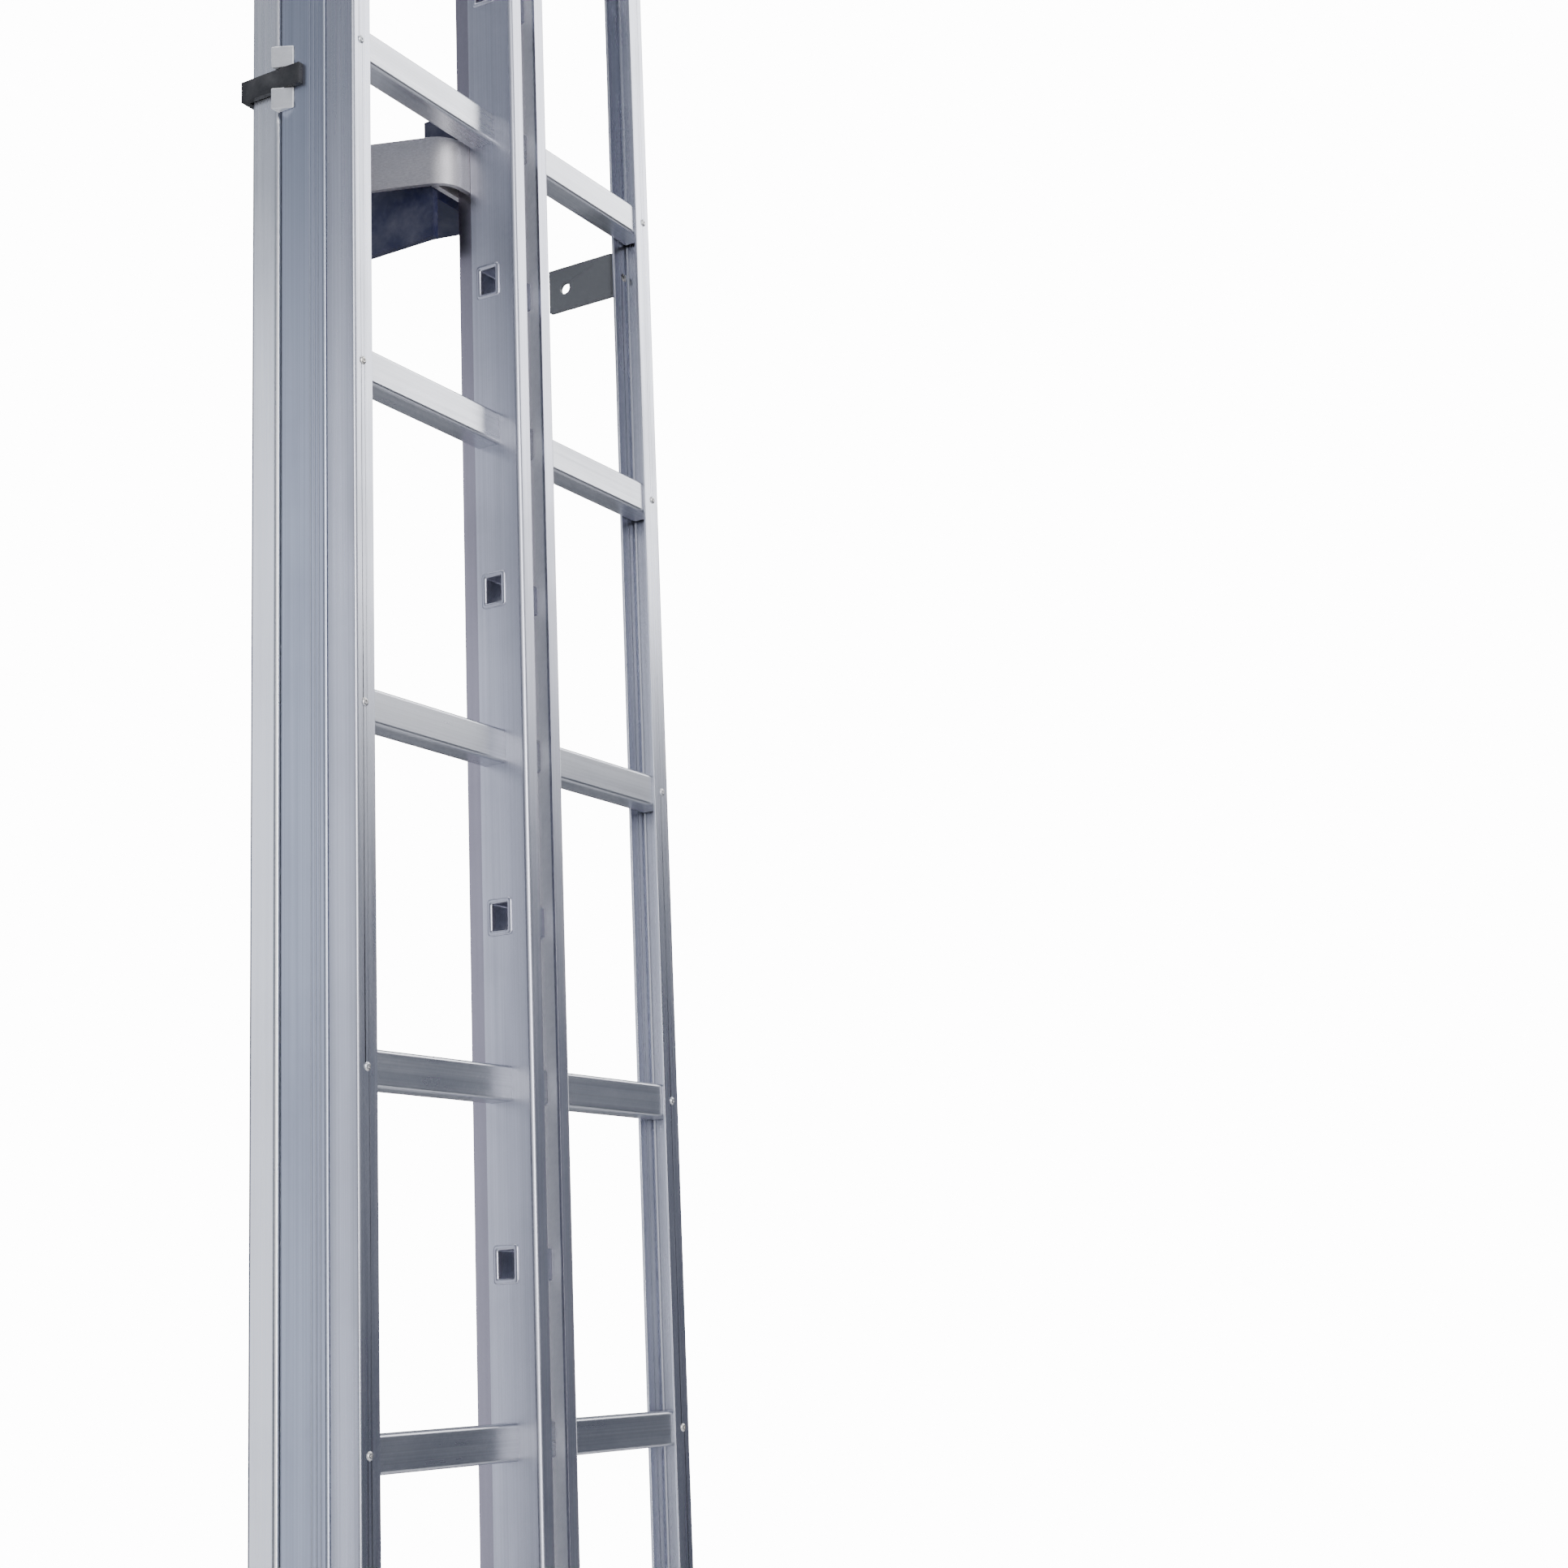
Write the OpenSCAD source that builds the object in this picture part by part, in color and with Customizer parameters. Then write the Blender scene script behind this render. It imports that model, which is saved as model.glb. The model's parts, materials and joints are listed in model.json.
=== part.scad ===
// Two-part extension ladder with a slotted centre rail, wall brackets and a sliding grab pole.
// X runs along the rungs, Y away from the climber and +Z up. Z = 0 is the floor under the feet.
// Modules are drawn with Y = 0 at the front of the rungs, and placed() moves them to the part's origin.

/* [Ladder] */
// Distance between rung centres
rung_pitch = 280; // [270:5:290]
// Overall width across the upper section's stiles
ladder_w = 441; // [420:1:460]
// Overall width across the lower section's stiles
lower_w = 336; // [320:1:338]
// Distance from the front of the rungs to the wall
wall_y = 124; // [120:1:160]

/* [Rungs] */
// Height of a rung
rung_h = 29; // [26:1:32]
// Depth of a rung, front to back
rung_d = 24; // [22:1:26]
// Wall of the rung tube
rung_t = 1.8; // [1.2:0.1:2.5]
// Corner radius of the rung tube
rung_r = 3; // [2:0.5:5]

/* [Stiles] */
// Width of a stile's flanges
stile_w = 24; // [20:1:28]
// Wall of a stile
stile_t = 2.4; // [2:0.1:3]
// Radius of a stile's outer corners
stile_r = 4.5; // [3:0.5:6]

/* [Centre rail] */
// Width of the centre rail
rail_w = 52; // [48:1:60]
// How far the rail stands in front of the rungs
rail_front = 21; // [18:1:26]
// How far the rail's rear stands behind the rung fronts
rail_rear = 41; // [36:1:46]
// Width of the slot between the two channels
slot_w = 21; // [16:1:24]
// Wall of the rail channels
rail_t = 2.5; // [2:0.1:3]

/* [Brackets] */
// Height of the flat bars that carry the ladder
bar_h = 44; // [36:1:50]
// Thickness of those bars
bar_t = 5; // [4:0.5:6]
// Thickness of the guide straps
strap_t = 4; // [3:0.5:5]
// Splay of the rail bracket's legs, in degrees from +Y
splay = 20.4; // [16:0.1:24]

/* [Grab pole] */
// Side of the square pole
pole_side = 30; // [26:1:32]
// Length of the pole
pole_l = 1900; // [1600:50:2000]
// Depth of the guide post, front to back
post_d = 46.6; // [44:0.2:50]
// Width of the guide post, along X
post_w = 40; // [38:1:44]

/* [Hidden] */
half_w = ladder_w / 2;
half_lower = lower_w / 2;
half_rail = rail_w / 2;

// Heights
upper_first = 3;
upper_last = 11;
lower_last = 5;
upper_bottom = upper_first * rung_pitch - 100;
upper_top = upper_last * rung_pitch + 150;
lower_bottom = 40;
lower_top = lower_last * rung_pitch + 100;
arm_level = 885;
lug_level = 2752;
bracket_level = 2767;
strap_levels = [975, 1440];
guide_levels = [1500, 2780, 3150];
clamp_level = guide_levels[2];

// Depths, from the front of the rungs
stile_front = -stile_t;
stile_rear = rung_d + stile_t;
lower_rung_y = 60;
lower_rear = lower_rung_y + rung_d + stile_t;
post_rear = stile_rear + post_d;
pole_gap = 3;
pole_x = -half_w + 1 + pole_side / 2;
pole_y = post_rear + pole_gap + pole_side / 2;
pole_bottom = 1280;
origin_y = -(wall_y - rail_front) / 2;

// Fasteners
rivet_r = 2;
rivet_head_r = 3.5;
rivet_inset = 12;
rung_end = stile_t + 3.6;
bolt_r = 4;
rail_bolt_r = 2.5;
rail_bolt_head_r = 4.5;
rail_bolt_head_h = 4;
head_h = 5.3;
head_r = 7.5;
wall_hole_r = 5.5;
wall_hole_x = 235;
tab_bolt = 8;
bracket_hole_x = 110;
rail_bolt_x = 14.5;
foot_x = 258;
fit = 0.05;
round_fn = 32;

// The catch
catch_y = 50.5;
catch_z = 4 * rung_pitch - rung_h / 2 - 7;
catch_half = 6;
catch_plate_t = 3;
catch_bolt_z = catch_z - 16;

// The feet
pivot_z = 60;
pivot_y = lower_rung_y + rung_d / 2;
pivot_r = 4;

upper_rungs = [for (n = [upper_first : upper_last]) n];
lower_rungs = [for (n = [1 : lower_last]) n];
function two(n) = n < 10 ? str("0", n) : str(n);
function upper_rung_name(n) = str("rung_", two(n));
function lower_rung_name(n) = str("lower_rung_", two(n));

// ---------- shared shapes ----------

module placed() {
    translate([0, origin_y, 0]) children();
}

module both_sides() {
    children();
    mirror([1, 0, 0]) children();
}

// Rectangle with four round corners, centred
module round_rect(w, d, r) {
    square([w - 2 * r, d], center = true);
    square([w, d - 2 * r], center = true);
    for (x = [-1, 1], y = [-1, 1])
        translate([x * (w / 2 - r), y * (d / 2 - r)]) circle(r, $fn = round_fn);
}

// Rectangle whose two corners on the -X side are round, from the origin
module round_left(w, d, r) {
    translate([r, 0]) square([w - r, d]);
    translate([0, r]) square([w, d - 2 * r]);
    for (y = [r, d - r])
        translate([r, y]) circle(r, $fn = round_fn);
}

// Channel section with a slightly crowned web at x = 0, open towards +X
module channel(w, d, t, r) {
    crown_r = 60;
    difference() {
        intersection() {
            round_left(w, d, r);
            translate([crown_r, d / 2]) circle(crown_r, $fn = 240);
        }
        translate([t, t]) round_left(w, d - 2 * t, r - t / 2);
    }
}

// A cylinder along X, Y or Z that starts at a point
module rod_x(p, r, l) {
    translate(p) rotate([0, 90, 0]) cylinder(r = r, h = l, $fn = round_fn);
}

module rod_y(p, r, l) {
    translate(p) rotate([-90, 0, 0]) cylinder(r = r, h = l, $fn = round_fn);
}

// Points that replace a path's corner b, between a and c, with a bend of radius r
function bend(a, b, c, r, n = 6) =
    let (u = (a - b) / norm(a - b), v = (c - b) / norm(c - b), half = acos(u * v) / 2)
    let (start = b + u * r / tan(half), centre = b + (u + v) / norm(u + v) * r / sin(half))
    let (d = start - centre, turn = (180 - 2 * half) * sign(u[1] * v[0] - u[0] * v[1]))
    [for (i = [0 : n]) let (t = turn * i / n)
        centre + [d[0] * cos(t) - d[1] * sin(t), d[0] * sin(t) + d[1] * cos(t)]];

function bent(path, r) = concat(
    [path[0]],
    [for (i = [1 : 1 : len(path) - 2]) each bend(path[i - 1], path[i], path[i + 1], r)],
    [path[len(path) - 1]]
);

// Unit normal of the stretch from a to b, and the mitre at a point between two stretches
function side(a, b) = [a[1] - b[1], b[0] - a[0]] / norm(b - a);
function mitre(p, i) =
    let (m = side(p[max(i - 1, 0)], p[max(i, 1)]), n = side(p[min(i, len(p) - 2)], p[min(i + 1, len(p) - 1)]))
    (m + n) / (1 + m * n);

// Flat bar of thickness t and height h that follows a plan path with bends of radius r, centred on height z
module flat_bar(path, t, h, z, r) {
    p = r > 0 ? bent(path, r) : path;
    last = len(p) - 1;
    near = [for (i = [0 : last]) p[i] + mitre(p, i) * t / 2];
    far = [for (i = [last : -1 : 0]) p[i] - mitre(p, i) * t / 2];
    translate([0, 0, z - h / 2])
        linear_extrude(h) polygon(concat(near, far));
}

// Hexagon bolt along +Y: the head starts at p and the shank runs on for l
module bolt_y(p, l, head = head_h) {
    translate(p) rotate([-90, 0, 0]) {
        cylinder(r = head_r, h = head, $fn = 6);
        cylinder(r = bolt_r, h = head + l, $fn = round_fn);
    }
}

// Hexagon bolt along +X
module bolt_x(p, l, head = head_h) {
    translate(p) rotate([0, 90, 0]) {
        cylinder(r = head_r, h = head, $fn = 6);
        cylinder(r = bolt_r, h = head + l, $fn = round_fn);
    }
}

// ---------- upper section ----------

module stile_section() {
    channel(stile_w, rung_d + 2 * stile_t, stile_t, stile_r);
}

module rivet_holes(x, y, rungs) {
    for (n = rungs)
        rod_y([x, y, n * rung_pitch], rivet_r + fit, 12);
}

module upper_stile() {
    difference() {
        translate([-half_w, stile_front, upper_bottom])
            linear_extrude(upper_top - upper_bottom) stile_section();
        rivet_holes(-half_w + rivet_inset, stile_front - 6, upper_rungs);
    }
}

module left_stile() {
    color("silver")
        difference() {
            upper_stile();
            post_bolt_holes();
        }
}

module right_stile() {
    color("silver")
        difference() {
            mirror([1, 0, 0]) upper_stile();
            for (z = concat(strap_levels, [arm_level, lug_level]))
                rod_y([half_w - tab_bolt, stile_rear - 6, z], bolt_r, 12);
        }
}

tie_y = 8.5;
tie_w = 19;
tie_h = 26;
tie_wall = 1.8;
tie_rim = 2.5;
tie_drop = 3;
web_step = 2.2;
step_y = 26;
step_groove = 1.5;

// The left channel's section: a web with a stepped rear strip, a front lip and a rear lip
module rail_section() {
    lip = (rail_w - slot_w) / 2;
    depth = rail_rear + rail_front;
    difference() {
        union() {
            translate([-half_rail, -rail_front]) round_left(lip, 12, 4);
            translate([-half_rail, -rail_front + 6]) square([lip, step_y + rail_front - 6]);
            translate([-half_rail + web_step, step_y - 1]) square([lip - web_step, rail_rear - step_y + 1]);
        }
        translate([-half_rail + rail_t, -rail_front + rail_t])
            square([lip, step_y - web_step + rail_front - rail_t]);
        translate([-half_rail + web_step + rail_t, -rail_front + rail_t])
            square([lip, depth - 2 * rail_t]);
        translate([-half_rail + web_step, step_y]) rotate(45) square(step_groove, center = true);
    }
}

module rail_channel() {
    difference() {
        translate([0, 0, upper_bottom])
            linear_extrude(upper_top - upper_bottom) rail_section();
        for (n = upper_rungs)
            rung_blank(n * rung_pitch, 40, -half_rail);
        for (n = [upper_first : upper_last - 1])
            translate([-half_rail, tie_y, (n + 0.5) * rung_pitch - tie_drop]) rotate([0, 90, 0])
                linear_extrude(10, center = true) round_rect(tie_h, tie_w, 2);
        for (z = [bracket_level, catch_bolt_z])
            rod_y([-rail_bolt_x, rail_rear - 6, z], rail_bolt_r, 12);
    }
}

module rail_left() {
    color("silver") rail_channel();
}

module rail_right() {
    color("silver") mirror([1, 0, 0]) rail_channel();
}

// Solid outline of a rung, centred on x, for the holes that it passes through
module rung_blank(z, l, x) {
    translate([x, rung_d / 2, z]) rotate([0, 90, 0])
        linear_extrude(l, center = true) round_rect(rung_h, rung_d, rung_r);
}

tread_grooves = [-7.5, -4.5, -1.5, 1.5, 4.5, 7.5];

// Rung tube of length l with its front at y, a grooved top and a rivet hole near each end
module rung_tube(z, l, y, hole_x) {
    translate([0, y, z])
        difference() {
            translate([0, rung_d / 2, 0]) rotate([0, 90, 0])
                linear_extrude(l, center = true)
                    difference() {
                        round_rect(rung_h, rung_d, rung_r);
                        round_rect(rung_h - 2 * rung_t, rung_d - 2 * rung_t, rung_r - rung_t / 2);
                        for (g = tread_grooves)
                            translate([-rung_h / 2, g]) square([1.2, 1.2], center = true);
                    }
            for (x = [-hole_x, hole_x])
                rod_y([x, -6, 0], rivet_r + fit, 12);
        }
}

module upper_rung(n) {
    color("gainsboro")
        rung_tube(n * rung_pitch, ladder_w - 2 * rung_end, 0, half_w - rivet_inset);
}

// Short square tubes with flared rims that tie the two rail channels together between the rungs
module rail_ties() {
    color("silver")
        for (n = [upper_first : upper_last - 1])
            translate([0, tie_y, (n + 0.5) * rung_pitch - tie_drop]) rotate([0, 90, 0])
                difference() {
                    union() {
                        linear_extrude(rail_w, center = true) round_rect(tie_h, tie_w, 2);
                        for (s = [-1, 1])
                            translate([0, 0, s * (half_rail + 0.75)])
                                linear_extrude(1.5, center = true)
                                    round_rect(tie_h + 2 * tie_rim, tie_w + 2 * tie_rim, 3);
                    }
                    linear_extrude(rail_w + 10, center = true)
                        round_rect(tie_h - 2 * tie_wall, tie_w - 2 * tie_wall, 1);
                }
}

// Blind rivet: a low domed head in front of the flange and a shank through it
module rivet(p) {
    translate(p) rotate([-90, 0, 0]) {
        cylinder(r = rivet_r, h = 6, $fn = round_fn);
        translate([0, 0, -0.8]) cylinder(r = rivet_head_r, h = 0.8, $fn = round_fn);
        translate([0, 0, -1.5]) cylinder(r1 = 2.2, r2 = rivet_head_r, h = 0.7, $fn = round_fn);
    }
}

module rung_rivets() {
    color("darkgray")
        for (n = upper_rungs, s = [-1, 1])
            rivet([s * (half_w - rivet_inset), stile_front, n * rung_pitch]);
}

// Moulded caps that close the stiles' ends
module stile_cap(x, y, z) {
    translate([x, y, z]) {
        linear_extrude(3) round_left(stile_w, rung_d + 2 * stile_t, stile_r);
        translate([rung_end, stile_t + 0.3, -12])
            cube([stile_w - rung_end - 1, rung_d - 0.6, 12]);
    }
}

module stile_caps() {
    color("dimgray") {
        both_sides() {
            stile_cap(-half_w, stile_front, upper_top);
            translate([0, 0, upper_bottom]) mirror([0, 0, 1]) stile_cap(-half_w, stile_front, 0);
        }
        translate([-half_w, stile_rear, upper_top])
            linear_extrude(3) round_left(post_w, post_d, 3);
    }
}

// ---------- guide post and pole guides ----------

post_t = 2.5;
post_groove = 1;
post_grooves = [33, 37, 41.5];
post_bolt_levels = [950, 1540, 2380, 3000];
post_bolt_x = -half_w + 15;

module post_bolt_holes() {
    for (z = post_bolt_levels)
        rod_y([post_bolt_x, stile_rear - 8, z], bolt_r, 16);
}

// Box section with fine grooves down its outer face
module guide_post() {
    color("lightsteelblue")
        difference() {
            translate([-half_w, stile_rear, upper_bottom])
                linear_extrude(upper_top - upper_bottom)
                    difference() {
                        round_left(post_w, post_d, 3);
                        translate([post_t, post_t]) square([post_w - 2 * post_t, post_d - 2 * post_t]);
                        for (g = post_grooves)
                            translate([0, g - stile_rear]) rotate(45) square(post_groove, center = true);
                    }
            post_bolt_holes();
            for (z = [arm_level, lug_level], dz = arm_bolt_dz)
                rod_x([-half_w + post_w - 8, arm_bolt_y, z + dz], bolt_r, 16);
            for (z = strap_levels)
                rod_x([-half_w + post_w - 8, arm_bolt_y, z], bolt_r, 16);
        }
}

module post_bolts() {
    color("darkgray")
        for (z = post_bolt_levels)
            bolt_y([post_bolt_x, stile_rear - stile_t - 4, z], 7, 4);
}

guide_wall = 5;
guide_clear = 0.6;
guide_lap = 24;
guide_h = 18.5;

// Section of a guide that wraps the pole and laps onto the post's outer face
module guide_section(wall, clear, lap) {
    inner = pole_side + 2 * clear;
    outer = inner + 2 * wall;
    difference() {
        union() {
            translate([pole_x - outer / 2, post_rear]) square([outer, pole_y - post_rear + outer / 2]);
            translate([pole_x - outer / 2, post_rear - lap])
                square([-half_w - (pole_x - outer / 2), lap + 1]);
        }
        translate([pole_x - inner / 2, post_rear - 1]) square([inner, pole_y - post_rear + inner / 2 + 1]);
    }
}

// Moulded guides that wrap the pole and lap onto the post
module pole_guides() {
    color("black")
        difference() {
            for (z = guide_levels)
                translate([0, 0, z - 9.5])
                    linear_extrude(guide_h) guide_section(guide_wall, guide_clear, guide_lap);
            rod_x([pole_x - pole_side, pole_y, clamp_level], bolt_r + fit, pole_side);
        }
}

// Pairs of aluminium wedges that hold each guide on the post's outer face
module guide_blocks() {
    color("white")
        for (z = guide_levels, span = [[-28, 18.5], [9.5, 18.5]])
            translate([-half_w, post_rear - 15, z + span[0]])
                linear_extrude(span[1]) polygon([[0, 0], [-1, 0], [-9.5, 17], [0, 17]]);
}

stop_w = 26;
stop_h = 30;
stop_t = 5;

module pole_stop() {
    color("lightgray")
        translate([pole_x - stop_w / 2, post_rear, pole_bottom - stop_h]) {
            cube([stop_w, stop_t, stop_h]);
            translate([0, 0, stop_h - stop_t - 0.3]) cube([stop_w, pole_side, stop_t]);
        }
}

// ---------- brackets ----------

side_bar_y = wall_y - bar_t / 2;
left_bar_x = half_w - post_w - bar_t / 2;
right_bar_x = half_w - 19;

arm_bolt_y = 44;
arm_bolt_dz = [-12, 12];
lug_end = 102;
lug_hole_y = 84;

// Bar from the guide post's inner face, with holes for the two bolts that hold it
module left_bar(path, z) {
    difference() {
        flat_bar(path, bar_t, bar_h, z, bar_t / 2 + 1);
        for (dz = arm_bolt_dz)
            rod_x([-left_bar_x - 6, arm_bolt_y, z + dz], bolt_r, 12);
    }
}

// Bar from the right stile's rear flange, with a hole for the bolt that holds it
module right_bar(path, z) {
    tab_y = stile_rear + bar_t / 2;
    difference() {
        flat_bar(concat([[half_w - 1, tab_y], [right_bar_x, tab_y]], path), bar_t, bar_h, z, bar_t / 2 + 1);
        rod_y([half_w - tab_bolt, stile_rear - 3, z], bolt_r, 12);
    }
}

// Short lugs with a square end and one cross hole
module lug_left() {
    color("dimgray")
        difference() {
            left_bar([[-left_bar_x, 34], [-left_bar_x, lug_end]], lug_level);
            rod_x([-left_bar_x - 6, lug_hole_y, lug_level], wall_hole_r, 12);
        }
}

module lug_right() {
    color("dimgray")
        difference() {
            right_bar([[right_bar_x, lug_end]], lug_level);
            rod_x([right_bar_x - 6, lug_hole_y, lug_level], wall_hole_r, 12);
        }
}

// Long arms whose ends turn outwards into wall feet
module wall_arm_left() {
    color("gray")
        difference() {
            left_bar([[-left_bar_x, 34], [-left_bar_x, side_bar_y], [-foot_x, side_bar_y]], arm_level);
            rod_y([-wall_hole_x, wall_y - 10, arm_level], wall_hole_r, 20);
        }
}

module wall_arm_right() {
    color("gray")
        difference() {
            right_bar([[right_bar_x, side_bar_y], [foot_x, side_bar_y]], arm_level);
            rod_y([wall_hole_x, wall_y - 10, arm_level], wall_hole_r, 20);
        }
}

module arm_bolts() {
    color("darkgray")
        for (z = [arm_level, lug_level]) {
            for (dz = arm_bolt_dz)
                translate([-left_bar_x + bar_t / 2 + head_h, arm_bolt_y, z + dz])
                    mirror([1, 0, 0]) bolt_x([0, 0, 0], 8);
            translate([half_w - tab_bolt, stile_rear + bar_t + head_h, z])
                mirror([0, 1, 0]) bolt_y([0, 0, 0], 8);
        }
}

// Bracket behind the rail: hooked legs that grip its rear strips, a cross plate and two wall feet
module rail_bracket() {
    corner = [53, step_y + bar_t / 2 + 0.3];
    corner_r = 25;
    hook_gap = 0.2;
    hook_x = half_rail - web_step + hook_gap;
    leg_end_x = corner[0] + (side_bar_y - corner[1]) * tan(splay);
    plate_half = 56.5;
    color("gray")
        difference() {
            union() {
                both_sides()
                    flat_bar(concat(
                        [[hook_x, corner[1]]],
                        bend([hook_x, corner[1]], corner, [leg_end_x, side_bar_y], corner_r, 14),
                        bend(corner, [leg_end_x, side_bar_y], [bracket_hole_x + 18, side_bar_y], 8),
                        [[bracket_hole_x + 18, side_bar_y]]), bar_t, bar_h, bracket_level, 0);
                translate([-plate_half, rail_rear, bracket_level - bar_h / 2])
                    cube([2 * plate_half, bar_t, bar_h]);
            }
            for (s = [-1, 1]) {
                rod_y([s * rail_bolt_x, rail_rear - 1, bracket_level], rail_bolt_r, 8);
                rod_y([s * bracket_hole_x, wall_y - 10, bracket_level], wall_hole_r, 20);
            }
        }
}

module rail_bolts() {
    color("darkgray")
        for (x = [-rail_bolt_x, rail_bolt_x], at = [[catch_bolt_z, catch_plate_t], [bracket_level, bar_t]])
            translate([x, rail_rear + at[1] + rail_bolt_head_h, at[0]]) rotate([90, 0, 0]) {
                cylinder(r = rail_bolt_head_r, h = rail_bolt_head_h, $fn = 6);
                cylinder(r = rail_bolt_r, h = rail_bolt_head_h + at[1] + rail_t, $fn = round_fn);
            }
}

// Moulded block that fills the bracket behind the rail, with a chamfered front edge and a cap on top
module rail_spacer() {
    top = bracket_level + bar_h / 2 + 0.5;
    base = bracket_level - bar_h / 2 + 0.5;
    front = rail_rear + bar_t + 1;
    back = wall_y - 2;
    half_front = 52;
    half_back = 28;
    shoulder = [40, front + 23];
    chamfer = 10;
    cheek_t = 6;
    cheek_drop = 45.5;
    cap = [40, 34, 42];
    plan = [[-half_front, front], [half_front, front], shoulder, [half_back, back], [-half_front, back]];
    side_view = [
        [front + chamfer, base], [back, base], [back, top], [front, top], [front, base + chamfer]
    ];
    color("midnightblue")
        difference() {
            union() {
                intersection() {
                    translate([0, 0, base - 1]) linear_extrude(top - base + 2) polygon(plan);
                    rotate([90, 0, 90])
                        linear_extrude(2 * half_front + 2, center = true) polygon(side_view);
                }
                translate([-half_front, front, base - cheek_drop])
                    cube([cheek_t, back - front, cheek_drop + chamfer + 1]);
                translate([-cap[0] / 2, front, top - 1]) cube([cap[0], cap[1], cap[2] + 1]);
            }
            for (x = [-rail_bolt_x, rail_bolt_x])
                rod_y([x, front - 1, bracket_level], rail_bolt_head_r + 1.5, 6);
        }
}

// ---------- guides for the lower section ----------

strap_x = half_w - post_w - strap_t / 2;
strap_back_y = lower_rear + 3.6 + strap_t / 2;

module left_strap(z) {
    color("gray")
        difference() {
            flat_bar([[-strap_x, 34], [-strap_x, strap_back_y], [-half_lower + 18, strap_back_y]],
                strap_t, bar_h, z, strap_t);
            rod_x([-strap_x - 6, arm_bolt_y, z], bolt_r, 12);
        }
}

module right_strap(z) {
    front = stile_rear + strap_t / 2;
    color("gray")
        difference() {
            flat_bar([[half_w - 1, front], [strap_x, front], [strap_x, strap_back_y],
                [half_lower - 18, strap_back_y]], strap_t, bar_h, z, strap_t);
            rod_y([half_w - tab_bolt, stile_rear - 3, z], bolt_r, 12);
        }
}

module strap_bolts() {
    color("darkgray")
        for (z = strap_levels) {
            translate([-strap_x + strap_t / 2 + head_h, arm_bolt_y, z])
                mirror([1, 0, 0]) bolt_x([0, 0, 0], 7);
            translate([half_w - tab_bolt, stile_rear + strap_t + head_h, z])
                mirror([0, 1, 0]) bolt_y([0, 0, 0], 7);
        }
}

// Slider pads that line the straps around the lower stiles
module slider_pad() {
    outer = -strap_x + strap_t / 2;
    gap = 0.6;
    side = -half_lower - gap;
    front = lower_rung_y - stile_t;
    color("midnightblue") {
        translate([outer, front - 5, -bar_h / 2]) cube([side - outer, lower_rear + gap - front + 5, bar_h]);
        translate([outer, front - 5, -bar_h / 2]) cube([side - outer + 7, 5 - gap, bar_h]);
        translate([outer + 3, lower_rear + gap, -bar_h / 2]) cube([21, 3, bar_h]);
    }
}

module slider_pads() {
    for (z = strap_levels)
        translate([0, 0, z]) both_sides() slider_pad();
}

// ---------- catch ----------

module catch_bracket() {
    color("gray")
        difference() {
            union() {
                translate([-22, rail_rear, catch_z - 26]) cube([44, catch_plate_t, 46]);
                for (s = [-1, 1])
                    translate([s * 11 - 2, 0, 0]) {
                        translate([0, rail_rear, catch_z - 6.5]) cube([4, catch_y - rail_rear, 13]);
                        rod_x([0, catch_y, catch_z], 6.5, 4);
                    }
            }
            rod_x([-20, catch_y, catch_z], pivot_r, 40);
            for (x = [-rail_bolt_x, rail_bolt_x])
                rod_y([x, rail_rear - 1, catch_bolt_z], rail_bolt_r, 6);
        }
}

module catch_pin() {
    color("darkgray") {
        rod_x([-13, catch_y, catch_z], pivot_r, 26);
        rod_x([-15, catch_y, catch_z], 5.5, 2);
        rod_x([13, catch_y, catch_z], 5.5, 2);
    }
}

// Hook that hangs down, and swings back and up under a rung of the lower section
module catch_hook() {
    tip = 47;
    color("firebrick")
        difference() {
            union() {
                rod_x([-8, catch_y, catch_z], catch_half, 16);
                translate([-8, catch_y - catch_half, catch_z - tip])
                    cube([16, 2 * catch_half, tip]);
                translate([-8, catch_y, catch_z - tip]) cube([16, catch_half + 2.5, 8]);
            }
            rod_x([-10, catch_y, catch_z], pivot_r + fit, 20);
        }
}

// ---------- lower section ----------

module lower_stile() {
    difference() {
        translate([-half_lower, lower_rung_y - stile_t, lower_bottom])
            linear_extrude(lower_top - lower_bottom) stile_section();
        rivet_holes(-half_lower + rivet_inset, lower_rung_y - stile_t - 6, lower_rungs);
        rod_x([-half_lower - 5, pivot_y, pivot_z], pivot_r, 10);
    }
}

module lower_left_stile() {
    color("silver") lower_stile();
}

module lower_right_stile() {
    color("silver") mirror([1, 0, 0]) lower_stile();
}

module lower_rung(n) {
    color("gainsboro")
        rung_tube(n * rung_pitch, lower_w - 2 * rung_end, lower_rung_y, half_lower - rivet_inset);
}

module lower_rivets() {
    color("darkgray")
        for (n = lower_rungs, s = [-1, 1])
            rivet([s * (half_lower - rivet_inset), lower_rung_y - stile_t, n * rung_pitch]);
}

module lower_caps() {
    color("dimgray")
        both_sides() stile_cap(-half_lower, lower_rung_y - stile_t, lower_top);
}

// Blocks on the lower stiles that rest on the upper guides when the section is down
module lower_stops() {
    color("gray")
        both_sides()
            translate([-half_lower - 7.5, lower_rung_y, strap_levels[1] + bar_h / 2 + 0.2])
                cube([7.5, rung_d, 20]);
}

module foot_pins() {
    color("darkgray")
        both_sides() {
            rod_x([-half_lower - 4.4, pivot_y, pivot_z], pivot_r, 9);
            rod_x([-half_lower - 6, pivot_y, pivot_z], 6.5, 1.6);
            rod_x([-half_lower + stile_t, pivot_y, pivot_z], 6.5, 2);
        }
}

// ---------- feet ----------

foot_d = 60;
foot_plate_z = 14;

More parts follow.
